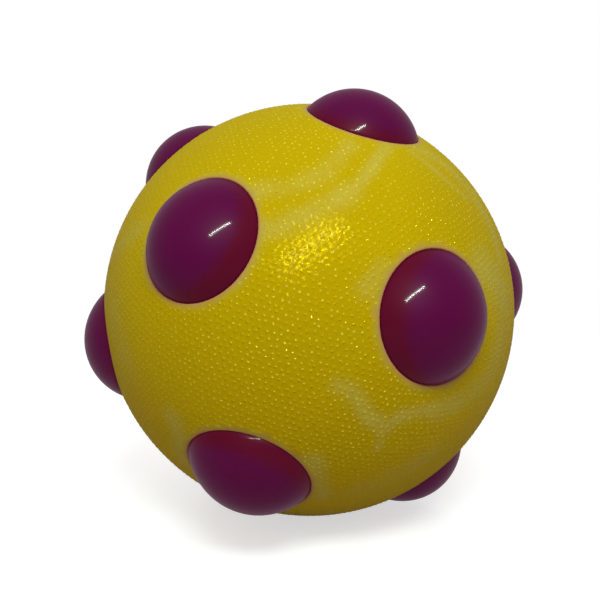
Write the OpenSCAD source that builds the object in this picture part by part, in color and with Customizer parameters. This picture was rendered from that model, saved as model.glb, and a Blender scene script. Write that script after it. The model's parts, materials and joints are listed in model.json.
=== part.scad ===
/* [Ball] */
// Diameter of the yellow body, without the domes
ball_diameter = 90; // [80:1:120]
// Thickness of the soft skin
skin_wall = 3.5; // [2.5:0.1:5]
// Angle between a pole dome and its ring of domes
ring_angle = 60; // [58:1:62]
// Turn of the back half away from an even stagger
half_twist = 7; // [0:1:10]
// Turn of the front ring of domes about the pole
front_turn = 61; // [0:1:71]
// Lean of the front pole from upright to the way the ball lies
lean = 70; // [60:1:80]

/* [Domes] */
// Diameter of a dome where it comes out of the skin
dome_diameter = 23.5; // [18:0.5:25]
// Height of a dome above the body
dome_rise = 5; // [3:0.1:7]
// Thickness of a dome's wall
dome_wall = 2.5; // [1.5:0.1:4]
// Width of the flange that keeps a dome inside the skin
flange_reach = 2.75; // [2:0.05:3]
// Thickness of a dome's flange at its edge
flange_thickness = 1.5; // [1:0.1:2]
// Gap between a dome and the skin round it
dome_clearance = 0.3; // [0.2:0.05:0.5]
// Depth of the eased edge round each hole in the skin
hole_edge = 0.6; // [0.2:0.1:1]

/* [Seam] */
// Thickness of the front half's tongue
tongue_thickness = 1.4; // [0.8:0.1:1.6]
// Gap round the tongue in its groove
tongue_clearance = 0.15; // [0.1:0.05:0.3]
// Width of the two ledges that clamp the web
ledge_width = 2.3; // [1.5:0.1:3]
// Thickness of the two ledges
ledge_thickness = 2; // [1.5:0.1:2.2]

/* [Web] */
// Thickness of the web that carries the light unit
web_thickness = 3; // [2:0.1:3.2]
// Width of the web's rim
web_rim_width = 3; // [2.6:0.1:4]
// Width of a spoke
spoke_width = 5; // [3:0.5:8]
// Number of spokes
spoke_count = 5; // [3:1:8]
// Width of the ring round the light unit
hub_width = 4.4; // [4:0.1:6]
// Gap between the web and what it holds
web_clearance = 0.3; // [0.2:0.05:0.5]

/* [Light unit case] */
// Thickness of the clear case
case_wall = 1.2; // [1:0.1:2]
// Thickness of the case's flanges
case_flange = 1.2; // [1:0.1:2]
// Gap between the case and the parts in it
case_clearance = 0.3; // [0.2:0.05:0.5]
// Width of the seat that holds the circuit board
board_seat = 1.2; // [0.8:0.1:2]
// Diameter of a screw's thread
screw_diameter = 1.5; // [1.2:0.1:1.6]
// Diameter of a screw's head
screw_head = 3; // [2.6:0.1:3.4]
// Height of a screw's head
screw_head_height = 0.9; // [0.6:0.1:1.5]
// Gap round a screw
screw_clearance = 0.1; // [0.05:0.05:0.2]
// Number of screws
screw_count = 4; // [3:1:6]

/* [Light unit inside] */
// Thickness of the circuit board
board_thickness = 1; // [0.8:0.1:1.6]
// Diameter of a lamp's lens
lamp_diameter = 3; // [2:0.1:4]
// Height of a lamp below its round end
lamp_height = 3.2; // [2:0.1:4]
// Width of the collar at the foot of a lamp
lamp_collar = 0.4; // [0.2:0.1:0.6]
// Height of the collar at the foot of a lamp
lamp_collar_height = 1; // [0.6:0.1:1.5]
// Diameter of the sealed chip
chip_diameter = 6; // [4:0.5:7]
// Height of the sealed chip
chip_height = 1.2; // [0.8:0.1:2]
// Diameter of a button cell
cell_diameter = 7.9; // [7:0.1:9.5]
// Height of a button cell
cell_height = 3.6; // [2:0.1:4]
// Diameter of the raised cap on a button cell
cell_cap_diameter = 6; // [5:0.1:6.8]
// Height of the raised cap on a button cell
cell_cap_height = 0.4; // [0.2:0.1:0.6]
// Thickness of the sleeve round the cells
sleeve_wall = 0.8; // [0.6:0.1:1.2]
// Gap between the cells and the sleeve
sleeve_clearance = 0.15; // [0.1:0.05:0.3]
// Thickness of the two metal contacts
contact_thickness = 0.3; // [0.2:0.05:0.5]
// Width of the strap up the side of the sleeve
strap_width = 2.4; // [1.5:0.1:3]
// Gap between the strap and the sleeve
strap_clearance = 0.2; // [0.1:0.05:0.4]

/* [Shake switch] */
// Outer diameter of the shake spring
spring_diameter = 3.2; // [2.8:0.1:4]
// Thickness of the spring's wire
spring_wire = 0.4; // [0.3:0.05:0.6]
// Length of the shake spring
spring_length = 6; // [4:0.5:6.5]
// Number of turns of the spring
spring_turns = 7; // [4:1:9]
// Gap between the spring's foot and the board
spring_foot_gap = 0.3; // [0.25:0.05:0.5]
// Gap between the spring and the cells' sleeve
spring_side_gap = 2; // [1.5:0.1:3]
// Diameter of the contact pin inside the spring
pin_diameter = 0.7; // [0.5:0.05:0.9]

/* [Hidden] */
$fn = 96;
ring_count = 5;
cell_count = 3;
lamp_count = 3;
cut_margin = 1;
spring_sides = 6;
spring_steps = 12;
skin_yellow = [0.85, 0.74, 0.06];
dome_purple = [0.36, 0.03, 0.24];
web_grey = [0.75, 0.74, 0.7];
case_clear = [0.86, 0.9, 0.92];
board_green = [0.1, 0.4, 0.2];
chip_black = [0.08, 0.08, 0.09];
cell_steel = [0.75, 0.76, 0.78];
contact_brass = [0.8, 0.65, 0.3];
sleeve_white = [0.92, 0.92, 0.9];
lamp_colours = ["red", "limegreen", "royalblue"];

// Radii of the skin
ball_r = ball_diameter / 2;
inner_r = ball_r - skin_wall;

// The dome's round top meets its neck where the neck leaves the body
neck_r = dome_diameter / 2;
neck_top = sqrt(pow(ball_r, 2) - pow(neck_r, 2));
cap_height = ball_r + dome_rise - neck_top;
cap_r = (pow(neck_r, 2) + pow(cap_height, 2)) / (2 * cap_height);
cap_centre = ball_r + dome_rise - cap_r;
seat_r = inner_r - dome_clearance;
flange_r = neck_r + flange_reach;
flange_bottom = sqrt(pow(seat_r, 2) - pow(flange_r, 2)) - flange_thickness;
hole_r = neck_r + dome_clearance;
hole_rim = sqrt(pow(ball_r, 2) - pow(hole_r, 2));
back_turn = front_turn + 180 / ring_count - half_twist;

// The seam's tongue and groove, as deep as half of the web
web_half = web_thickness / 2;
tongue_inner = inner_r + dome_clearance;
tongue_outer = tongue_inner + tongue_thickness;
groove_r = tongue_outer + tongue_clearance;
tongue_length = web_half - tongue_clearance;
ledge_r = inner_r - ledge_width;
ledge_root = inner_r + skin_wall / 3;

// The cells, their sleeve and the strap, which set the size of the case
board_half = board_thickness / 2;
cell_r = cell_diameter / 2;
stack_top = board_half + contact_thickness;
stack_end = stack_top + cell_count * cell_height;
sleeve_inner = cell_r + sleeve_clearance;
sleeve_outer = sleeve_inner + sleeve_wall;
sleeve_end = stack_end - cell_height / 2;
strap_inner = sleeve_outer + strap_clearance;
strap_outer = strap_inner + contact_thickness;
strap_corner = norm([strap_outer, strap_width / 2]);
case_inner = norm([strap_corner, stack_end + contact_thickness]) + case_clearance;
case_outer = case_inner + case_wall;
board_r = case_inner - case_clearance;
seat_inner = board_r - board_seat;
flange_root = case_inner + case_wall / 3;

// The web and the screws that hold the case to it
hub_inner = case_outer + web_clearance;
hub_outer = hub_inner + hub_width;
web_outer = inner_r - web_clearance;
web_inner = web_outer - web_rim_width;
screw_circle = (hub_inner + hub_outer) / 2;
screw_r = screw_diameter / 2;
screw_hole = screw_r + screw_clearance;
flange_top = web_half + case_flange;

// The lamps stand halfway between the chip and the board's edge
lamp_r = lamp_diameter / 2;
chip_r = chip_diameter / 2;
lamp_circle = (chip_r + board_r) / 2;
chip_dome = (pow(chip_r, 2) + pow(chip_height, 2)) / (2 * chip_height);

// The shake spring hangs beside the sleeve, opposite the strap
spring_r = spring_diameter / 2;
spring_place = -sleeve_outer - spring_side_gap - spring_r;
spring_top = -board_half - spring_foot_gap;
spring_rings = spring_steps * spring_turns;
spring_climb = spring_length - spring_wire;
wire_r = spring_wire / 2;

// A point on the wire, the share t of the way up and the angle a round the wire
function spring_point(t, a) =
    let (reach = spring_r - wire_r - wire_r * cos(a), turn = 360 * spring_turns * t)
        [reach * cos(turn), reach * sin(turn), wire_r + spring_climb * t + wire_r * sin(a)];
// A face of the wire's upper end, from three corners of its last ring
function spring_end_ring(a, b, c) =
    let (first = spring_rings * spring_sides)
        [first + a, first + b, first + c];

function ring_name(half, i) = str("dome_", half, "_", i + 1);
function cell_name(i) = str("button_cell_", i + 1);
function lamp_name(i) = str("lamp_", i + 1);

// Turns the ball from its pole to the way it lies on a floor
module lying() {
    translate([0, 0, ball_r])
        rotate([lean, 0, 0])
            children();
}

// Points a shape that is drawn upright out along a dome's axis
module pointed(polar, turn) {
    rotate([0, 0, turn])
        rotate([0, polar, 0])
            children();
}

module tube(outer, inner, low, high) {
    translate([0, 0, low])
        difference() {
            cylinder(r = outer, h = high - low);
            translate([0, 0, -cut_margin])
                cylinder(r = inner, h = high - low + 2 * cut_margin);
        }
}

module upper_half(size) {
    translate([-size, -size, 0])
        cube([2 * size, 2 * size, size]);
}

// One hole through the skin, with its outer edge eased
module dome_hole() {
    translate([0, 0, flange_bottom])
        cylinder(r = hole_r, h = ball_r);
    translate([0, 0, hole_rim - hole_edge])
        cylinder(r1 = hole_r, r2 = hole_r + 2 * hole_edge, h = 2 * hole_edge);
}

module half_shell(turn) {
    difference() {
        intersection() {
            sphere(r = ball_r);
            upper_half(ball_r + cut_margin);
        }
        sphere(r = inner_r);
        dome_hole();
        for (i = [0 : ring_count - 1])
            pointed(ring_angle, turn + i * 360 / ring_count)
                dome_hole();
    }
    tube(ledge_root, ledge_r, web_half, web_half + ledge_thickness);
}

module skin_front() {
    color(skin_yellow)
        lying() {
            half_shell(front_turn);
            tube(tongue_outer, tongue_inner, -tongue_length, tongue_length);
        }
}

module skin_back() {
    color(skin_yellow)
        lying()
            difference() {
                rotate([180, 0, 0])
                    half_shell(-back_turn);
                translate([0, 0, -web_half])
                    cylinder(r = groove_r, h = web_thickness);
            }
}

// A hollow dome with a neck through the skin and a flange behind it
module dome() {
    difference() {
        union() {
            intersection() {
                translate([0, 0, cap_centre])
                    sphere(r = cap_r);
                translate([0, 0, flange_bottom])
                    cylinder(r = neck_r, h = ball_r);
            }
            intersection() {
                sphere(r = seat_r);
                translate([0, 0, flange_bottom])
                    cylinder(r = flange_r, h = ball_r);
            }
        }
        intersection() {
            translate([0, 0, cap_centre])
                sphere(r = cap_r - dome_wall);
            translate([0, 0, flange_bottom - cut_margin])
                cylinder(r = neck_r - dome_wall, h = ball_r);
        }
    }
}

module placed_dome(polar, turn) {
    color(dome_purple)
        lying()
            pointed(polar, turn)
                dome();
}

module front_dome(i) {
    placed_dome(ring_angle, front_turn + i * 360 / ring_count);
}

module back_dome(i) {
    placed_dome(180 - ring_angle, back_turn + i * 360 / ring_count);
}

module screw_holes() {
    for (i = [0 : screw_count - 1])
        rotate([0, 0, i * 360 / screw_count])
            translate([screw_circle, 0, -flange_top - cut_margin])
                cylinder(r = screw_hole, h = 2 * (flange_top + cut_margin));
}

// A rim clamped at the seam, spokes, and a ring round the light unit
module centre_web() {
    color(web_grey)
        lying()
            difference() {
                union() {
                    tube(web_outer, web_inner, -web_half, web_half);
                    tube(hub_outer, hub_inner, -web_half, web_half);
                    for (i = [0 : spoke_count - 1])
                        rotate([0, 0, (i + 0.5) * 360 / spoke_count])
                            translate([(hub_inner + hub_outer) / 2, -spoke_width / 2, -web_half])
                                cube([web_inner - hub_inner, spoke_width, web_thickness]);
                }
                screw_holes();
            }
}

// Half of the clear case, with its flange and its seat for the board
module case_half() {
    difference() {
        union() {
            difference() {
                intersection() {
                    sphere(r = case_outer);
                    upper_half(case_outer + cut_margin);
                }
                sphere(r = case_inner);
            }
            tube(hub_outer, flange_root, web_half, flange_top);
            tube(flange_root, seat_inner, board_half, web_half);
        }
        screw_holes();
    }
}

module case_front() {
    color(case_clear)
        lying()
            case_half();
}

module case_back() {
    color(case_clear)
        lying()
            rotate([180, 0, 0])
                case_half();
}

module case_screws() {
    color(cell_steel)
        lying()
            for (i = [0 : screw_count - 1])
                rotate([0, 0, i * 360 / screw_count])
                    translate([screw_circle, 0, -flange_top]) {
                        cylinder(r = screw_r, h = 2 * flange_top);
                        translate([0, 0, 2 * flange_top])
                            cylinder(d = screw_head, h = screw_head_height);
                    }
}

module circuit_board() {
    color(board_green)
        lying()
            translate([0, 0, -board_half])
                cylinder(r = board_r, h = board_thickness);
}

module driver_chip() {
    color(chip_black)
        lying()
            translate([0, 0, board_half])
                intersection() {
                    translate([0, 0, chip_height - chip_dome])
                        sphere(r = chip_dome);
                    upper_half(chip_diameter);
                }
}

module lamp(i) {
    color(lamp_colours[i])
        lying()
            rotate([0, 0, i * 360 / lamp_count])
                translate([lamp_circle, 0, board_half]) {
                    cylinder(r = lamp_r, h = lamp_height);
                    cylinder(r = lamp_r + lamp_collar, h = lamp_collar_height);
                    translate([0, 0, lamp_height])
                        intersection() {
                            sphere(r = lamp_r);
                            upper_half(lamp_diameter);
                        }
                }
}

// A button cell with its raised cap towards the board
module button_cell(i) {
    color(cell_steel)
        lying()
            translate([0, 0, -stack_top - (i + 1) * cell_height]) {
                cylinder(r = cell_r, h = cell_height - cell_cap_height);
                cylinder(d = cell_cap_diameter, h = cell_height);
            }
}

module cell_sleeve() {
    color(sleeve_white)
        lying()
            tube(sleeve_outer, sleeve_inner, -sleeve_end, -board_half);
}

module plate_contact() {
    color(contact_brass)
        lying()
            translate([0, 0, -stack_top])
                cylinder(r = cell_r, h = contact_thickness);
}

// A plate under the cells and a strap up the sleeve to the board
module strap_contact() {
    color(contact_brass)
        lying()
            translate([0, 0, -stack_end - contact_thickness]) {
                cylinder(r = cell_r, h = contact_thickness);
                translate([0, -strap_width / 2, 0])
                    cube([strap_outer, strap_width, contact_thickness]);
                translate([strap_inner, -strap_width / 2, 0])
                    cube([contact_thickness, strap_width, stack_end + contact_thickness - board_half]);
            }
}

// A tube swept along a helix, closed at both ends
module shake_spring() {
    points = [
        for (k = [0 : spring_rings])
            for (j = [0 : spring_sides - 1])
                spring_point(k / spring_rings, j * 360 / spring_sides)
    ];
    sides = [
        for (k = [0 : spring_rings - 1])
            for (j = [0 : spring_sides - 1])
                let (
                    a = k * spring_sides + j,
                    b = k * spring_sides + (j + 1) % spring_sides
                )
                    each [
                        [a, b, b + spring_sides],
                        [a, b + spring_sides, a + spring_sides]
                    ]
    ];
    color(cell_steel)
        lying()
            translate([spring_place, 0, spring_top - spring_length])
                polyhedron(
                    points = points,
                    faces = concat(
                        sides,
                        [for (j = [1 : spring_sides - 2]) [0, j + 1, j]],
                        [for (j = [1 : spring_sides - 2]) spring_end_ring(0, j, j + 1)]
                    )
                );
}

module contact_pin() {
    color(contact_brass)
        lying()
            translate([spring_place, 0, spring_top - spring_length])
                cylinder(d = pin_diameter, h = spring_length + spring_foot_gap);
}

skin_front();
skin_back();
placed_dome(0, 0);  // dome_front_pole
for (i = [0 : ring_count - 1])
    front_dome(i);
placed_dome(180, 0);  // dome_back_pole
for (i = [0 : ring_count - 1])
    back_dome(i);
centre_web();
case_front();
case_back();
case_screws();
circuit_board();
driver_chip();
for (i = [0 : lamp_count - 1])
    lamp(i);
for (i = [0 : cell_count - 1])
    button_cell(i);
cell_sleeve();
plate_contact();
strap_contact();
shake_spring();
contact_pin();
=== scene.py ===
import json
import math
from random import Random

import bmesh
import bpy
import numpy as np
from mathutils import Matrix, Vector


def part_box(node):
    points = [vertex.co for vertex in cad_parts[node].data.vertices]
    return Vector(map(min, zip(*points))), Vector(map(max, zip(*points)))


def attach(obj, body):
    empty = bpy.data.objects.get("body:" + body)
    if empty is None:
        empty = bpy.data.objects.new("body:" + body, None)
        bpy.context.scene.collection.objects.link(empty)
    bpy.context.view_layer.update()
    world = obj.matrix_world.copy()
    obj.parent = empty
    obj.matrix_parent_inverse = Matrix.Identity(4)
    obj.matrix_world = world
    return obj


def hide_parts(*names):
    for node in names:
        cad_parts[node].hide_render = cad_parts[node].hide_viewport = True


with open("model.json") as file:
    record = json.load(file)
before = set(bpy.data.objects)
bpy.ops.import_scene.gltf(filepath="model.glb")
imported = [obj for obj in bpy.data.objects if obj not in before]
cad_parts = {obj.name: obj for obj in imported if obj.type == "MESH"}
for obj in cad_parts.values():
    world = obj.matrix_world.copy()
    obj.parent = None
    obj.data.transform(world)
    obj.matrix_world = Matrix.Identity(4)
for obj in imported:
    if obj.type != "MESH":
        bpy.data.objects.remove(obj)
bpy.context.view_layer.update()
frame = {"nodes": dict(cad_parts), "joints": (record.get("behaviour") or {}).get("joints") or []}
nodes = frame["nodes"]
scene = bpy.context.scene
scene.view_settings.view_transform = "Standard"

# the ball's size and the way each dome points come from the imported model
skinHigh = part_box("skin_front")[1]
ballRadius = skinHigh.x
ballCentre = Vector((0, 0, ballRadius))
domeAxes = {
    joint["child"]: -Vector(joint["axis"]).normalized()
    for joint in frame["joints"] if joint["type"] == "slide"
}
print("ball radius", round(ballRadius, 5), "with", len(domeAxes), "domes")


# camera, standing where the photo was taken from
photoCamera = {
    "eye": (27.6, 4.9),  # degrees round the ball and above its middle, 0 looks along +Y
    "distance": 0.156,
    "facing": (28.95, -0.55),  # where its back points, in the same degrees
    "roll": -0.84,
    "lens": 40.63,
    "sensor": 36.0,
    "shift": (0.0156, -0.1008),
    "clipStart": 0.01,
    "imageSize": 600,  # pixels along each side of the photo
}


def compass(azimuth, elevation):
    around, up = math.radians(azimuth), math.radians(elevation)
    return Vector((math.sin(around) * math.cos(up), -math.cos(around) * math.cos(up), math.sin(up)))


def cameraAxes():
    back = compass(*photoCamera["facing"])
    level = Vector((0, 0, 1)).cross(back).normalized()
    right = Matrix.Rotation(math.radians(photoCamera["roll"]), 3, back) @ level
    return right, back.cross(right), back


viewRight, viewUp, viewBack = cameraAxes()
viewTurn = Matrix((viewRight, viewUp, viewBack)).transposed()
towardsEye = compass(*photoCamera["eye"])
eye = ballCentre + towardsEye * photoCamera["distance"]


def makeCamera():
    data = bpy.data.cameras.new("photoCamera")
    data.lens = photoCamera["lens"]
    data.sensor_width = photoCamera["sensor"]
    data.shift_x, data.shift_y = photoCamera["shift"]
    data.clip_start = photoCamera["clipStart"]
    camera = bpy.data.objects.new("photoCamera", data)
    camera.matrix_world = Matrix.Translation(eye) @ viewTurn.to_4x4()
    scene.collection.objects.link(camera)
    scene.camera = camera


# where a pixel of the photo lands on the ball, as a direction from its centre
def onBall(px, py):
    size = photoCamera["imageSize"]
    across = ((px - size / 2) / size + photoCamera["shift"][0]) * photoCamera["sensor"]
    upward = ((size / 2 - py) / size + photoCamera["shift"][1]) * photoCamera["sensor"]
    ray = (viewRight * across + viewUp * upward - viewBack * photoCamera["lens"]).normalized()
    start = eye - ballCentre
    along = -start.dot(ray)
    missSquared = start.length_squared - along ** 2
    inside = math.sqrt(max(ballRadius ** 2 - missSquared, 0))
    return (start + ray * (along - inside)).normalized()


makeCamera()
print("camera at", [round(c, 4) for c in eye])


# shared noise for grain, colour drift and roughness
noiseDetail = {"Grain": 3, "Drift": 2}


def grainGroup():
    group = bpy.data.node_groups.new("surfaceGrain", "ShaderNodeTree")
    for way, names in (
        ("INPUT", ("Scale", "Drift Scale", "Rough Low", "Rough High")),
        ("OUTPUT", ("Grain", "Drift", "Roughness")),
    ):
        for name in names:
            group.interface.new_socket(name=name, in_out=way, socket_type="NodeSocketFloat")
    made, links = group.nodes, group.links
    inside, outside = made.new("NodeGroupInput"), made.new("NodeGroupOutput")
    place = made.new("ShaderNodeTexCoord")
    for scale, target in (("Scale", "Grain"), ("Drift Scale", "Drift")):
        cloud = made.new("ShaderNodeTexNoise")
        cloud.inputs["Detail"].default_value = noiseDetail[target]
        links.new(place.outputs["Object"], cloud.inputs["Vector"])
        links.new(inside.outputs[scale], cloud.inputs["Scale"])
        links.new(cloud.outputs["Fac"], outside.inputs[target])
    spread = made.new("ShaderNodeMapRange")  # roughness follows the drift
    links.new(cloud.outputs["Fac"], spread.inputs["Value"])
    links.new(inside.outputs["Rough Low"], spread.inputs["To Min"])
    links.new(inside.outputs["Rough High"], spread.inputs["To Max"])
    links.new(spread.outputs["Result"], outside.inputs["Roughness"])
    return group


surfaceGrain = grainGroup()


class Finish:
    # a material with its shader and grain group in place
    def __init__(self, name, look):
        self.material = bpy.data.materials.new(name)
        self.material.use_nodes = True
        self.nodes = self.material.node_tree.nodes
        self.links = self.material.node_tree.links
        self.shader = self.nodes["Principled BSDF"]
        group = self.nodes.new("ShaderNodeGroup")
        group.node_tree = surfaceGrain
        group.inputs["Scale"].default_value = look["grainScale"]
        group.inputs["Drift Scale"].default_value = look["driftScale"]
        low, high = look["roughness"]
        group.inputs["Rough Low"].default_value = low
        group.inputs["Rough High"].default_value = high
        self.give("Roughness", group.outputs["Roughness"])
        self.give("Metallic", look.get("metallic", 0))
        self.give("Specular IOR Level", look.get("specular", 0.5))
        self.grain, self.drift = group.outputs["Grain"], group.outputs["Drift"]

    # a socket takes another node's output, a colour or a number
    def feed(self, socket, value):
        if isinstance(value, bpy.types.NodeSocket):
            self.links.new(value, socket)
        elif isinstance(value, tuple):
            socket.default_value = (*value, 1)
        else:
            socket.default_value = value

    def give(self, name, value):
        self.feed(self.shader.inputs[name], value)

    def attribute(self, name):
        node = self.nodes.new("ShaderNodeAttribute")
        node.attribute_name = name
        return node.outputs["Fac"]

    def maths(self, operation, first, second):
        node = self.nodes.new("ShaderNodeMath")
        node.operation = operation
        for socket, value in zip(node.inputs, (first, second)):
            self.feed(socket, value)
        return node.outputs["Value"]

    def times(self, first, second):
        return self.maths("MULTIPLY", first, second)

    def plus(self, first, second):
        return self.maths("ADD", first, second)

    def span(self, value, low, high, toLow=0, toHigh=1):
        node = self.nodes.new("ShaderNodeMapRange")
        node.interpolation_type = "SMOOTHSTEP"
        self.links.new(value, node.inputs["Value"])
        ends = {"From Min": low, "From Max": high, "To Min": toLow, "To Max": toHigh}
        for name, number in ends.items():
            node.inputs[name].default_value = number
        return node.outputs["Result"]

    def mix(self, mask, first, second):
        node = self.nodes.new("ShaderNodeMix")
        node.data_type = "RGBA"
        self.links.new(mask, node.inputs["Factor"])
        for name, colour in (("A", first), ("B", second)):
            socket = [s for s in node.inputs if s.name == name and s.type == "RGBA"][0]
            self.feed(socket, colour)
        return [s for s in node.outputs if s.type == "RGBA"][0]

    def bump(self, height, distance):
        node = self.nodes.new("ShaderNodeBump")
        node.inputs["Distance"].default_value = distance
        self.links.new(height, node.inputs["Height"])
        self.give("Normal", node.outputs["Normal"])


# mesh helpers
def addPiece(name, bm, body, replaced, material):
    mesh = bpy.data.meshes.new(name)
    bmesh.ops.translate(bm, verts=bm.verts[:], vec=ballCentre)
    for face in bm.faces:
        face.smooth = True
    bm.to_mesh(mesh)
    bm.free()
    mesh.materials.append(material)
    piece = bpy.data.objects.new(name, mesh)
    scene.collection.objects.link(piece)
    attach(piece, body)
    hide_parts(replaced)
    return piece


def upright(pole, side):
    zWay = pole.normalized()
    xWay = (side - zWay * side.dot(zWay)).normalized()
    return Matrix((xWay, zWay.cross(xWay), zWay)).transposed()


# skin: two pebbled halves, each with six round holes
skin = {
    "wall": 0.0035,
    "holeRadius": 0.0118,  # just clear of the domes' necks
    "lip": 0.0004,  # rounding of each hole's edge
    "lipSteps": 3,
    "band": 0.0005,  # smooth ring round each hole
    "rimReach": 1.05,  # a hole's edges lie within this many of its radii
    "cutSnap": 0.00012,  # points this near a cut move onto it
    "rowCuts": (2, 2, 4),  # 45 rows of pebbles from dome to dome
    "spacing": 0.00074,  # least distance between two pebbles
    "settleRounds": 4,
    "pebble": 0.00026,
    "pebbleHeight": 0.00006,
    "pebbleLean": 0.00009,  # how far each top is off its middle
    "pebbleGleam": (0.05, 1.5),
    "gleamSkew": 1.7,  # most pebbles are dull, a few are bright
    "valleyDepth": 0.00003,
    "scatter": 0.00025,
    "seed": 11,
    "lipLightShadeRim": 0.0026,  # width of the painted translucency and shade that greys the skin round each hole
    "domeReflectionShadeRim": 0.00065,  # painted purple reflection and shade on the skin's edge, this near each hole
    "domeReflectionShadeDepth": 0.0008,
    "seamBand": 0.0005,
    "seamGroove": 0.00005,
    "innerLevel": 5,
    "streakFall": 1.8,  # how sharply a streak ends at its sides
}
skinLook = {
    "deep": (0.44, 0.320, 0.0008),
    "hollow": (0.395, 0.283, 0.0007),  # painted shade between the pebbles
    "valleyShadeSpan": (0.0, 0.4),
    "pale": (0.41, 0.338, 0.048),
    "driftShare": 1.0, "grainShare": 1.0, "streakSpan": (0.15, 1.1),
    "topGlintTint": (0.66, 0.555, 0.045),  # painted glint on the pebbles' tops
    "topSpan": (0.0, 0.4), "topGlintShare": 0.72,
    # painted translucency and shade round each hole
    "lipLightShadeTint": (0.365, 0.305, 0.06), "lipLightShadeSpan": (0.1, 0.75),
    # painted purple reflection and shade at each hole's edge
    "domeReflectionShade": (0.40, 0.17, 0.10),
    "bump": 0.0001, "fineBump": 0.7,
    "grainScale": 1500, "driftScale": 170, "roughness": (0.08, 0.13), "specular": 0.0,
    "pearl": 0.06, "shine": 0.013, "glint": 0.03, "sheen": 0.004, "glintRoughness": 0.09,
    "fuzz": 0.05, "fuzzRoughness": 0.4,  # pales the ball's edge
}


def skinFinish():
    finish = Finish("marbledSkin", skinLook)
    top, glossGlintShade = finish.attribute("pebble"), finish.attribute("glossGlintShade")
    # painted shade between the pebbles, deeper where the shine patches are
    hollow = finish.times(finish.span(top, *skinLook["valleyShadeSpan"], 1, 0), glossGlintShade)
    body = finish.mix(hollow, skinLook["deep"], skinLook["hollow"])
    broad = finish.times(finish.drift, skinLook["driftShare"])
    cloud = finish.plus(broad, finish.times(finish.grain, skinLook["grainShare"]))
    streak = finish.times(finish.attribute("streak"), cloud)
    body = finish.mix(finish.span(streak, *skinLook["streakSpan"]), body, skinLook["pale"])
    # painted translucency and shade that greys the skin round each hole
    lip = finish.times(finish.attribute("lip"), finish.drift)
    body = finish.mix(finish.span(lip, *skinLook["lipLightShadeSpan"]), body, skinLook["lipLightShadeTint"])
    # painted glint on the pebbles' tops; the same mask sets their gloss
    gleam = finish.times(finish.span(top, *skinLook["topSpan"]), finish.attribute("gleam"))
    gleam = finish.times(gleam, glossGlintShade)
    body = finish.mix(finish.times(gleam, skinLook["topGlintShare"]), body, skinLook["topGlintTint"])
    # painted purple reflection and shade where the skin's edge meets its dome
    finish.give("Base Color", finish.mix(finish.attribute("domeReflectionShade"), body, skinLook["domeReflectionShade"]))
    fine = finish.times(finish.grain, skinLook["fineBump"])
    finish.bump(finish.plus(finish.span(top, 0, 1), fine), skinLook["bump"])
    pearl = finish.times(gleam, skinLook["pearl"])
    finish.give("Metallic", finish.plus(pearl, skinLook["shine"]))
    glint = finish.times(gleam, skinLook["glint"])
    finish.give("Coat Weight", finish.plus(glint, skinLook["sheen"]))
    finish.give("Coat Roughness", skinLook["glintRoughness"])
    finish.give("Sheen Weight", skinLook["fuzz"])
    finish.give("Sheen Roughness", skinLook["fuzzRoughness"])
    return finish.material


def lipProfile():
    hole, ease = skin["holeRadius"], skin["lip"]
    corner = Vector((hole, math.sqrt(ballRadius ** 2 - hole ** 2)))
    start = Vector((hole + ease, math.sqrt(ballRadius ** 2 - (hole + ease) ** 2)))
    end = corner - Vector((0, ease))
    steps = [i / skin["lipSteps"] for i in range(skin["lipSteps"] + 1)]
    return [start * (1 - t) ** 2 + corner * 2 * t * (1 - t) + end * t ** 2 for t in steps]


def setRing(verts, axis, radius, height):
    for v in verts:
        outward = (v.co - axis * v.co.dot(axis)).normalized()
        v.co = axis * height + outward * radius


def extrudeRing(bm, edges, axis, radius, height):
    made = bmesh.ops.extrude_edge_only(bm, edges=edges)["geom"]
    setRing([g for g in made if isinstance(g, bmesh.types.BMVert)], axis, radius, height)
    return [g for g in made if isinstance(g, bmesh.types.BMEdge) and g.is_boundary]


def rimEdges(bm, axis, radius):
    near = []
    for e in bm.edges:
        if e.is_boundary:
            middle = (e.verts[0].co + e.verts[1].co) / 2
            if middle.dot(axis) > 0 and middle.cross(axis).length < radius:
                near.append(e)
    return near


# turns the faces that look away from where they should
def faceTowards(bm, faces, way):
    bm.normal_update()
    wrong = [f for f in faces if f.normal.dot(way(f.calc_center_median())) < 0]
    bmesh.ops.reverse_faces(bm, faces=wrong)


def cutAway(bm, point, outward):
    bmesh.ops.bisect_plane(
        bm, geom=bm.verts[:] + bm.edges[:] + bm.faces[:], dist=skin["cutSnap"],
        plane_co=point, plane_no=outward, use_snap_center=True, clear_outer=True,
    )


def innerWall(pole, axes):
    bm = bmesh.new()
    radius = ballRadius - skin["wall"]
    bmesh.ops.create_icosphere(bm, subdivisions=skin["innerLevel"], radius=radius)
    for axis in axes:
        cutAway(bm, axis * math.sqrt(radius ** 2 - skin["holeRadius"] ** 2), axis)
    cutAway(bm, Vector(), -pole)
    bmesh.ops.reverse_faces(bm, faces=bm.faces[:])
    mesh = bpy.data.meshes.new("innerWall")
    bm.to_mesh(mesh)
    bm.free()
    return mesh


def ontoBall(bm):
    for v in bm.verts:
        v.co = v.co.normalized() * ballRadius


def jitter(draw):
    return Vector([draw.uniform(-1, 1) for i in range(3)])


# pushes pebbles that came too close apart again
def spreadOut(bm):
    for i in range(skin["settleRounds"]):
        for first, second in (e.verts for e in bm.edges):
            way = second.co - first.co
            short = skin["spacing"] - way.length
            if short > 0:
                push = way.normalized() * short / 2
                first.co -= push
                second.co += push
    ontoBall(bm)


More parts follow.
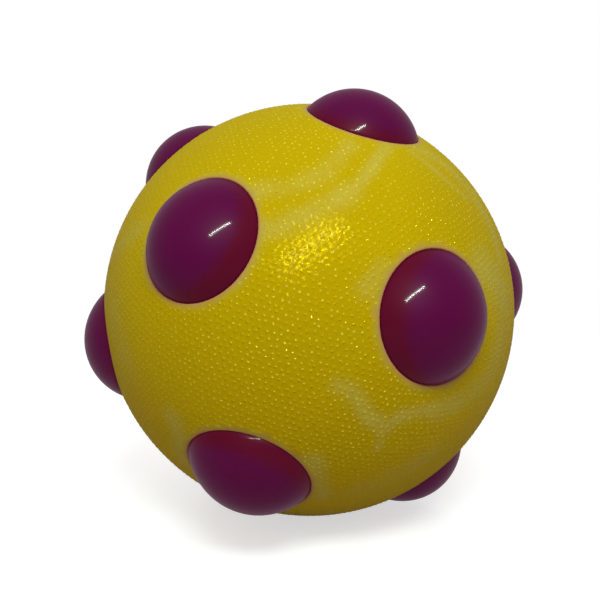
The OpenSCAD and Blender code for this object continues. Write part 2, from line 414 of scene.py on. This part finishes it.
# a point for each pebble, in rows from dome to dome, a little out of line
def pebbleRows(bm, pole, side, draw):
    bmesh.ops.create_icosphere(bm, subdivisions=1, radius=ballRadius)
    ring = next(v for v in bm.verts if 0 < v.co.z < ballRadius / 2)
    turn = upright(pole, side) @ upright(Vector((0, 0, 1)), ring.co).transposed()
    bmesh.ops.rotate(bm, cent=(0, 0, 0), matrix=turn, verts=bm.verts[:])
    for cuts in skin["rowCuts"]:
        bmesh.ops.subdivide_edges(bm, edges=bm.edges[:], cuts=cuts, use_grid_fill=True)
        ontoBall(bm)
    for v in bm.verts:
        v.co += jitter(draw) * skin["scatter"]
    spreadOut(bm)


# a pebble on each point that is clear of the holes and the seam
def raisePebbles(bm, pole, axes, draw):
    pebbleLayer, gleamLayer = (bm.verts.layers.float[n] for n in ("pebble", "gleam"))
    clear = lipProfile()[0].x + skin["band"]
    spots = [
        v for v in bm.verts
        if v.co.dot(pole) > skin["seamBand"] and all(
            v.co.dot(a) < 0 or v.co.cross(a).length > clear for a in axes)
    ]
    caps = bmesh.ops.bevel(
        bm, geom=spots, offset=skin["pebble"], offset_type="OFFSET", affect="VERTICES",
        segments=1, profile=0.5, material=-1, clamp_overlap=True,
    )["faces"]
    isCap = set(caps)
    # a triangle between three pebbles is left with six corners
    valleys = [f for f in bm.faces if len(f.verts) == 6 and f not in isCap]
    low, high = skin["pebbleGleam"]
    for v in bmesh.ops.poke(bm, faces=caps, offset=skin["pebbleHeight"])["verts"]:
        v[pebbleLayer] = 1
        gleam = low + (high - low) * draw.random() ** skin["gleamSkew"]
        for near in [v] + [e.other_vert(v) for e in v.link_edges]:
            near[gleamLayer] = gleam
        lean = jitter(draw) * skin["pebbleLean"]
        v.co += lean - v.co.normalized() * lean.dot(v.co.normalized())
    bmesh.ops.poke(bm, faces=valleys, offset=-skin["valleyDepth"])


# rounds the edges of the holes and sets the seam back in a groove
def roundEdges(bm, pole, axes):
    start, *lower = lipProfile()
    for axis in axes:
        rim = rimEdges(bm, axis, start.x * skin["rimReach"])
        setRing([v for e in rim for v in e.verts], axis, *start)
        for point in lower:
            rim = extrudeRing(bm, rim, axis, *point)
    seam = [
        e for e in bm.edges
        if e.is_boundary and abs(e.verts[0].co.dot(pole)) < skin["seamBand"] / 2
    ]
    setRing([v for e in seam for v in e.verts], pole, ballRadius, skin["seamGroove"])
    extrudeRing(bm, seam, pole, ballRadius - skin["seamGroove"], 0)


# joins the inner wall on through the holes and along the seam
def joinInner(bm, pole, axes):
    inner = innerWall(pole, axes)
    bm.from_mesh(inner)
    bpy.data.meshes.remove(inner)
    for axis in axes:
        rims = rimEdges(bm, axis, skin["holeRadius"] * skin["rimReach"])
        joined = bmesh.ops.bridge_loops(bm, edges=rims)["faces"]
        faceTowards(bm, joined, lambda spot: axis * spot.dot(axis) - spot)
    seam = [e for e in bm.edges if e.is_boundary]
    joined = bmesh.ops.bridge_loops(bm, edges=seam)["faces"]
    faceTowards(bm, joined, lambda spot: -pole)


def skinHalf(pole, axes):
    bm = bmesh.new()
    for name in ("pebble", "gleam"):
        bm.verts.layers.float.new(name)
    draw = Random(skin["seed"])
    pebbleRows(bm, pole, axes[1], draw)
    for axis in axes:
        cutAway(bm, axis * lipProfile()[0].y, axis)
    cutAway(bm, pole * skin["seamGroove"], -pole)
    raisePebbles(bm, pole, axes, draw)
    roundEdges(bm, pole, axes)
    joinInner(bm, pole, axes)
    bmesh.ops.triangulate(bm, faces=[f for f in bm.faces if len(f.verts) > 4])
    return bm


# pale streaks in the plastic: points of the photo, a width on the ball in metres and a strength
streaks = (
    ((388, 144), (376, 160), (364, 178), (352, 190), 0.0020, 0.75),
    ((352, 190), (330, 205), (305, 216), (282, 223), (262, 229), 0.0031, 0.62),
    ((284, 225), (261, 230), 0.0030, 0.74),
    ((352, 143), (340, 155), (326, 170), (308, 180), (285, 187), (260, 190), 0.0032, 0.58),
    ((412, 152), (430, 166), (448, 182), (466, 197), 0.0015, 0.65),
    ((418, 148), (445, 164), (470, 190), (490, 225), (500, 258), 0.0035, 0.68),
    # the next two broad bands along the right edge are partly marbling and partly a painted sheen at
    # the ball's edge
    ((486, 270), (497, 288), (503, 300), 0.0060, 0.85),
    ((503, 310), (499, 350), (490, 378), 0.0055, 0.6),
    ((385, 266), (374, 280), (366, 290), 0.0026, 0.6),
    ((338, 385), (350, 390), (359, 402), 0.0024, 0.68),
    ((358, 400), (370, 418), (384, 426), 0.0022, 0.85),
    ((380, 428), (381, 440), (379, 448), 0.0016, 0.6),
    ((388, 426), (402, 416), (420, 412), (440, 409), 0.0022, 0.9),
    ((440, 409), (460, 400), (478, 388), (490, 376), 0.0034, 0.8),
    ((360, 490), (395, 475), (430, 455), 0.0050, 0.55),
    ((314, 462), (318, 480), (322, 496), 0.0028, 0.8),
    ((172, 418), (180, 440), (186, 465), 0.0032, 0.8),
    ((118, 247), (132, 234), (143, 224), 0.0034, 0.65),
    ((114, 310), (120, 340), (128, 368), 0.0060, 0.45),
)
# where the pebbles' tops shine: more gloss, painted glints on the tops and painted shade between them;
# a point of the photo, a reach in ball radii and a strength
glossGlintShadeSpots = (
    (300, 320, 0.50, 1.0), (380, 400, 0.34, 1.0), (320, 175, 0.40, 1.2), (280, 135, 0.45, 1.0),
    (440, 200, 0.40, 0.9), (210, 335, 0.30, 0.8), (330, 445, 0.25, 0.7),
)
# the same on the far side, drawn by chance, with how much they may face the camera as a cosine
unseenGlossGlintShade = {
    "seed": 3, "count": 9, "reach": (0.3, 0.5), "strength": (0.6, 1.0), "hidden": -0.1,
    "least": 0.22,  # gloss, painted glint and painted shade anywhere
}
unseenStreaks = {
    "seed": 7, "count": 17, "points": 9, "step": 0.1, "bend": 0.16,
    "width": (0.0018, 0.0028), "strength": (0.4, 0.85), "hidden": 0.2,
}


def anyWay(draw):
    return Vector([draw.gauss(0, 1) for i in range(3)])


def streakLines():
    lines = [([onBall(*p) for p in line[:-2]], *line[-2:]) for line in streaks]
    draw = Random(unseenStreaks["seed"])
    while len(lines) < len(streaks) + unseenStreaks["count"]:
        spot = anyWay(draw).normalized()
        heading = anyWay(draw).cross(spot).normalized()
        width = draw.uniform(*unseenStreaks["width"])
        strength = draw.uniform(*unseenStreaks["strength"])
        bend = draw.uniform(-1, 1) * unseenStreaks["bend"]
        line = []
        for i in range(unseenStreaks["points"]):
            line.append(spot.copy())
            spot = (spot + heading * unseenStreaks["step"]).normalized()
            heading = heading + heading.cross(spot) * bend
            heading = (heading - spot * heading.dot(spot)).normalized()
        if max(spot.dot(towardsEye) for spot in line) < unseenStreaks["hidden"]:
            lines.append((line, width, strength))
    return lines


def glossGlintShadePlaces():
    spots = [(onBall(px, py), reach, strength) for px, py, reach, strength in glossGlintShadeSpots]
    draw = Random(unseenGlossGlintShade["seed"])
    while len(spots) < len(glossGlintShadeSpots) + unseenGlossGlintShade["count"]:
        spot = anyWay(draw).normalized()
        if spot.dot(towardsEye) < unseenGlossGlintShade["hidden"]:
            reach = draw.uniform(*unseenGlossGlintShade["reach"])
            strength = draw.uniform(*unseenGlossGlintShade["strength"])
            spots.append((spot, reach, strength))
    return spots


def nearLine(points, line):
    best = np.full(len(points), np.inf)
    for a, b in zip(line, line[1:]):
        start, way = np.array(a), np.array(b - a)
        t = np.clip((points - start) @ way / (way @ way), 0, 1)
        best = np.minimum(best, np.linalg.norm(points - start - t[:, None] * way, axis=1))
    return best


def paintSkin(piece):
    mesh = piece.data
    spots = np.zeros(len(mesh.vertices) * 3)
    mesh.vertices.foreach_get("co", spots)
    spots = spots.reshape(-1, 3) - np.array(ballCentre)
    lengths = np.linalg.norm(spots, axis=1)
    points, depth = spots / lengths[:, None], ballRadius - lengths
    streak = np.zeros(len(points))
    for line, width, strength in streakLines():
        fall = np.exp(-(nearLine(points, line) * ballRadius / width) ** skin["streakFall"])
        streak = np.maximum(streak, fall * strength)
    # patches with more gloss, painted glints on the pebbles' tops and painted shade between them
    glossGlintShade = np.full(len(points), unseenGlossGlintShade["least"])
    for spot, reach, strength in glossGlintShadePlaces():
        away = np.linalg.norm(points - np.array(spot), axis=1)
        glossGlintShade = np.maximum(glossGlintShade, strength * np.exp(-(away / reach) ** 2))
    lip, domeReflectionShade = np.zeros(len(points)), np.zeros(len(points))
    shallow = np.clip(1 - depth / skin["domeReflectionShadeDepth"], 0, 1)
    for axis in domeAxes.values():
        away = np.linalg.norm(np.cross(spots, np.array(axis)), axis=1) - skin["holeRadius"]
        nearSide = spots @ np.array(axis) > 0
        # painted translucency and shade round each hole
        lip = np.maximum(lip, np.clip(1 - away / skin["lipLightShadeRim"], 0, 1) * nearSide)
        # painted purple reflection and shade at each hole's edge
        withPaintedLight = np.clip(1 - away / skin["domeReflectionShadeRim"], 0, 1) * shallow
        domeReflectionShade = np.maximum(domeReflectionShade, withPaintedLight * nearSide)
    for name, values in (("streak", streak), ("glossGlintShade", glossGlintShade), ("lip", lip), ("domeReflectionShade", domeReflectionShade)):
        layer = mesh.attributes.new(name, "FLOAT", "POINT")
        layer.data.foreach_set("value", values.astype(np.float32))


def makeSkins():
    finish = skinFinish()
    for side in ("front", "back"):
        names = sorted(n for n in domeAxes if n.startswith("dome_" + side))
        pole = domeAxes["dome_" + side + "_pole"]
        axes = [pole] + [domeAxes[n] for n in names if not n.endswith("pole")]
        node = "skin_" + side
        piece = addPiece(node + "_pebbled", skinHalf(pole, axes), "ball", node, finish)
        paintSkin(piece)
        count = sum(len(p.vertices) - 2 for p in piece.data.polygons)
        print(node, "has", count, "triangles")


makeSkins()


# domes: hollow caps on a neck, with a flange that sits behind the skin
dome = {
    "neckRadius": 0.01175,
    "rise": 0.005,
    "capRadius": 0.0138,
    "wall": 0.0025,
    "flangeRadius": 0.0145,
    "seatRadius": 0.0412,  # the flange's face behind the skin, from the ball's centre
    "flangeBottom": 0.03706,
    "capSteps": 22,
    "spinSteps": 72,
    "mergeGap": 1e-6,
    "steepest": 0.9,  # above this an axis counts as upright
    "sharpAngle": 40,
}
domeLook = {
    "plum": (0.056, 0.0002, 0.0275),
    "plumLight": (0.060, 0.0003, 0.031),
    "wine": (0.063, 0.0003, 0.0115),  # painted red crescent, the yellow skin's light seen through the dome
    "crescentSide": (28, 3), "crescentShift": (-0.02, 0.28), "crescentReach": 1.0, "crescentEdge": 0.14,
    "grainScale": 700, "driftScale": 90, "cloudSpan": (0.3, 0.7), "bump": 0.00001,
    "roughness": (0.42, 0.5), "specular": 0.017,
    "paintedGlow": 0.43,  # painted glow: the domes give off this share of their colour, though they are no lamps
    "coat": 0.072, "coatRoughness": 0.10,
    "haze": 0.02, "hazeRoughness": 0.35,  # pales the domes towards their edges
}


def domeFinish():
    finish = Finish("plumDome", domeLook)
    clouds = finish.span(finish.drift, *domeLook["cloudSpan"])
    plum = finish.mix(clouds, domeLook["plum"], domeLook["plumLight"])
    # painted red crescent of light on one side of each dome
    withPaintedLight = finish.mix(finish.attribute("crescentLight"), plum, domeLook["wine"])
    finish.give("Base Color", withPaintedLight)
    # painted glow: the domes give off part of their colour
    finish.give("Emission Color", withPaintedLight)
    finish.give("Emission Strength", domeLook["paintedGlow"])
    finish.give("Coat Weight", domeLook["coat"])
    finish.give("Coat Roughness", domeLook["coatRoughness"])
    finish.give("Sheen Weight", domeLook["haze"])
    finish.give("Sheen Roughness", domeLook["hazeRoughness"])
    finish.bump(finish.grain, domeLook["bump"])
    return finish.material


def capArc(radius, centre, rim):
    reach = math.asin(rim / radius)
    turns = [reach * i / dome["capSteps"] for i in range(dome["capSteps"] + 1)]
    return [(radius * math.sin(t), centre + radius * math.cos(t)) for t in turns]


def domeProfile():
    centre = ballRadius + dome["rise"] - dome["capRadius"]
    hollow = dome["neckRadius"] - dome["wall"]
    outer = capArc(dome["capRadius"], centre, dome["neckRadius"])
    inner = capArc(dome["capRadius"] - dome["wall"], centre, hollow)
    seats = [
        (r, math.sqrt(dome["seatRadius"] ** 2 - r ** 2))
        for r in (dome["neckRadius"], dome["flangeRadius"])
    ]
    foot = [(dome["flangeRadius"], dome["flangeBottom"]), (hollow, dome["flangeBottom"])]
    return outer + seats + foot + inner[::-1]


def domeShell(axis):
    bm = bmesh.new()
    verts = [bm.verts.new((r, 0, z)) for r, z in domeProfile()]
    edges = [bm.edges.new(pair) for pair in zip(verts, verts[1:])]
    bmesh.ops.spin(
        bm, geom=verts + edges, cent=(0, 0, 0), axis=(0, 0, 1), dvec=(0, 0, 0),
        angle=2 * math.pi, steps=dome["spinSteps"], use_merge=True,
    )
    bmesh.ops.remove_doubles(bm, verts=bm.verts[:], dist=dome["mergeGap"])
    bmesh.ops.recalc_face_normals(bm, faces=bm.faces[:])
    side = Vector((0, 0, 1)) if abs(axis.z) < dome["steepest"] else Vector((1, 0, 0))
    bmesh.ops.rotate(bm, cent=(0, 0, 0), matrix=upright(axis, side), verts=bm.verts[:])
    return bm


# a painted crescent of red light along one side of each dome, where the yellow skin's light would show
# through the purple
def paintCrescentLight(bm, axis):
    layer = bm.verts.layers.float.new("crescentLight")
    side = compass(*domeLook["crescentSide"])
    low, high = domeLook["crescentShift"]
    shift = low + (high - low) * max(side.dot(axis), 0)
    side = (side - axis * side.dot(axis)).normalized()
    for v in bm.verts:
        spot = (v.co - axis * v.co.dot(axis)) / dome["neckRadius"]
        away = (spot + side * shift).length - domeLook["crescentReach"]
        v[layer] = min(max(0.5 + away / domeLook["crescentEdge"], 0), 1)


def makeDomes():
    finish = domeFinish()
    for name, axis in domeAxes.items():
        bm = domeShell(axis)
        paintCrescentLight(bm, axis)
        piece = addPiece(name + "_soft", bm, name, name, finish)
        piece.data.set_sharp_from_angle(angle=math.radians(dome["sharpAngle"]))
    print(len(domeAxes), "domes made")


makeDomes()


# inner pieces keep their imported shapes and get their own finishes
lampPlastic = {"grainScale": 800, "driftScale": 300, "roughness": (0.08, 0.16), "bump": 0.00001}
innerLooks = {
    "web": {
        "names": ("centre_web",), "first": (0.62, 0.62, 0.58), "second": (0.72, 0.72, 0.68),
        "grainScale": 900, "driftScale": 70, "roughness": (0.45, 0.6), "bump": 0.00004,
    },
    "case": {
        "names": ("case_front", "case_back"), "first": (0.86, 0.88, 0.9), "second": (0.92, 0.94, 0.95),
        "grainScale": 400, "driftScale": 50, "roughness": (0.06, 0.14), "bump": 0.00001, "clear": 0.9,
    },
    "steel": {
        "names": ("case_screws", "button_cell_1", "button_cell_2", "button_cell_3", "shake_spring"),
        "first": (0.52, 0.52, 0.53), "second": (0.66, 0.66, 0.66), "metallic": 1,
        "grainScale": 1800, "driftScale": 160, "roughness": (0.22, 0.38), "bump": 0.00001,
    },
    "contact": {
        "names": ("plate_contact", "strap_contact", "contact_pin"),
        "first": (0.66, 0.50, 0.24), "second": (0.74, 0.60, 0.32), "metallic": 1,
        "grainScale": 1500, "driftScale": 150, "roughness": (0.22, 0.36), "bump": 0.00001,
    },
    "board": {
        "names": ("circuit_board",), "first": (0.02, 0.16, 0.05), "second": (0.04, 0.24, 0.08),
        "grainScale": 1400, "driftScale": 350, "roughness": (0.28, 0.42), "bump": 0.00002,
    },
    "chip": {
        "names": ("driver_chip",), "first": (0.012, 0.012, 0.013), "second": (0.025, 0.025, 0.026),
        "grainScale": 1200, "driftScale": 300, "roughness": (0.3, 0.5), "bump": 0.00002,
    },
    "lampRed": {
        "names": ("lamp_1",), "first": (0.62, 0.03, 0.02), "second": (0.75, 0.06, 0.04), **lampPlastic,
    },
    "lampGreen": {
        "names": ("lamp_2",), "first": (0.04, 0.5, 0.06), "second": (0.07, 0.62, 0.1), **lampPlastic,
    },
    "lampBlue": {
        "names": ("lamp_3",), "first": (0.03, 0.08, 0.6), "second": (0.06, 0.14, 0.72), **lampPlastic,
    },
    "sleeve": {
        "names": ("cell_sleeve",), "first": (0.5, 0.5, 0.48), "second": (0.6, 0.6, 0.58),
        "grainScale": 700, "driftScale": 120, "roughness": (0.4, 0.55), "bump": 0.00003,
    },
}


def dressInside():
    for name, look in innerLooks.items():
        finish = Finish(name, look)
        finish.give("Base Color", finish.mix(finish.drift, look["first"], look["second"]))
        finish.bump(finish.grain, look["bump"])
        finish.give("Transmission Weight", look.get("clear", 0))
        for node in look["names"]:
            slots = nodes[node].data.materials
            slots.clear()
            slots.append(finish.material)
    print(len(innerLooks), "inner finishes set")


dressInside()


# studio: pale floor, a strip that shines in the gloss, lamps above and behind, an even surround
studio = {
    "floorRadius": 3.0,
    "floorSides": 96,
    "floorColour": (0.62, 0.63, 0.70),
    "floorBounce": (0.48, 0.40, 0.36),  # the floor's colour where it lights the ball
    "floorGlow": 0.60,
    "fadeFrom": 0.06, "fadeTo": 0.40,  # where the floor turns into the even backdrop
    "surround": 0.42,
    "surroundColour": (1.0, 0.92, 0.8),
    "lampColour": (0.92, 1.0, 0.90),
}
# towards and along are right, up and back as the camera stands
# shows puts a lamp in the gloss, lights lets it fall on the rest
lamps = {
    "strip": {
        "towards": (0.02, 0.58, 0.81), "along": (0.79, 0.48, -0.37), "distance": 1.8,
        "size": (1.128, 0.017), "level": 1500.0, "shows": True, "lights": False,
    },
    "key": {
        "towards": (0.05, 0.65, 0.76), "along": (1, 0, 0), "distance": 0.26,
        "size": (0.13, 0.065), "level": 16.8, "shows": False, "lights": True,
    },
    "soft": {
        "towards": (-0.1, 0.80, 0.6), "along": (1, 0, 0), "distance": 0.9,
        "size": (0.9, 0.9), "level": 0.85, "shows": False, "lights": True,
    },
    "rear": {
        "towards": (0, 0.3, -0.95), "along": (1, 0, 0), "distance": 1.2,
        "size": (0.5, 0.5), "level": 7.0, "shows": False, "lights": True,
    },
}


def makeLamp(name, lamp):
    data = bpy.data.lights.new(name, "AREA")
    data.shape = "RECTANGLE"
    data.size, data.size_y = lamp["size"]
    data.energy = lamp["level"] * math.pi * data.size * data.size_y
    data.color = studio["lampColour"]
    light = bpy.data.objects.new(name, data)
    light.visible_glossy, light.visible_diffuse = lamp["shows"], lamp["lights"]
    away = (viewTurn @ Vector(lamp["towards"])).normalized()
    facing = upright(away, viewTurn @ Vector(lamp["along"]))
    light.matrix_world = Matrix.Translation(ballCentre + away * lamp["distance"]) @ facing.to_4x4()
    scene.collection.objects.link(light)


# 1 for what the camera, gloss and clear plastic see, 0 for what lights the ball
def directRays(made, links):
    path = made.new("ShaderNodeLightPath")
    total = path.outputs["Is Camera Ray"]
    for name in ("Is Glossy Ray", "Is Transmission Ray"):
        most = made.new("ShaderNodeMath")
        most.operation = "MAXIMUM"
        links.new(total, most.inputs[0])
        links.new(path.outputs[name], most.inputs[1])
        total = most.outputs["Value"]
    return total


def floorFinish():
    material = bpy.data.materials.new("paleFloor")
    material.use_nodes = True
    made, links = material.node_tree.nodes, material.node_tree.links
    made.clear()
    seen = directRays(made, links)
    place = made.new("ShaderNodeTexCoord")
    reach = made.new("ShaderNodeVectorMath")
    reach.operation = "LENGTH"
    links.new(place.outputs["Object"], reach.inputs[0])
    fade = made.new("ShaderNodeMapRange")
    fade.interpolation_type = "SMOOTHSTEP"
    fade.inputs["From Min"].default_value = studio["fadeFrom"]
    fade.inputs["From Max"].default_value = studio["fadeTo"]
    links.new(reach.outputs["Value"], fade.inputs["Value"])
    near, bounce = made.new("ShaderNodeBsdfDiffuse"), made.new("ShaderNodeBsdfDiffuse")
    near.inputs["Color"].default_value = (*studio["floorColour"], 1)
    bounce.inputs["Color"].default_value = (*studio["floorBounce"], 1)
    glow, far = made.new("ShaderNodeEmission"), made.new("ShaderNodeEmission")
    glow.inputs["Strength"].default_value = studio["floorGlow"]
    lit = made.new("ShaderNodeAddShader")
    links.new(near.outputs["BSDF"], lit.inputs[0])
    links.new(glow.outputs["Emission"], lit.inputs[1])
    shown, whole = made.new("ShaderNodeMixShader"), made.new("ShaderNodeMixShader")
    links.new(fade.outputs["Result"], shown.inputs["Fac"])
    links.new(lit.outputs["Shader"], shown.inputs[1])
    links.new(far.outputs["Emission"], shown.inputs[2])
    links.new(seen, whole.inputs["Fac"])
    links.new(bounce.outputs["BSDF"], whole.inputs[1])
    links.new(shown.outputs["Shader"], whole.inputs[2])
    surface = made.new("ShaderNodeOutputMaterial")
    links.new(whole.outputs["Shader"], surface.inputs["Surface"])
    return material


def makeFloor():
    bm = bmesh.new()
    bmesh.ops.create_circle(
        bm, cap_ends=True, segments=studio["floorSides"], radius=studio["floorRadius"],
    )
    mesh = bpy.data.meshes.new("floor")
    bm.to_mesh(mesh)
    bm.free()
    mesh.materials.append(floorFinish())
    floor = bpy.data.objects.new("floor", mesh)
    scene.collection.objects.link(floor)


def makeSurround():
    world = bpy.data.worlds.new("surround")
    scene.world = world
    world.use_nodes = True
    made, links = world.node_tree.nodes, world.node_tree.links
    background = made["Background"]
    background.inputs["Color"].default_value = (*studio["surroundColour"], 1)
    background.inputs["Strength"].default_value = studio["surround"]
    white = made.new("ShaderNodeBackground")
    white.inputs["Color"].default_value = (1, 1, 1, 1)
    both = made.new("ShaderNodeMixShader")
    links.new(directRays(made, links), both.inputs["Fac"])
    links.new(background.outputs["Background"], both.inputs[1])
    links.new(white.outputs["Background"], both.inputs[2])
    links.new(both.outputs["Shader"], made["World Output"].inputs["Surface"])


makeFloor()
makeSurround()
for lampName, lampSettings in lamps.items():
    makeLamp(lampName, lampSettings)
print("studio ready")
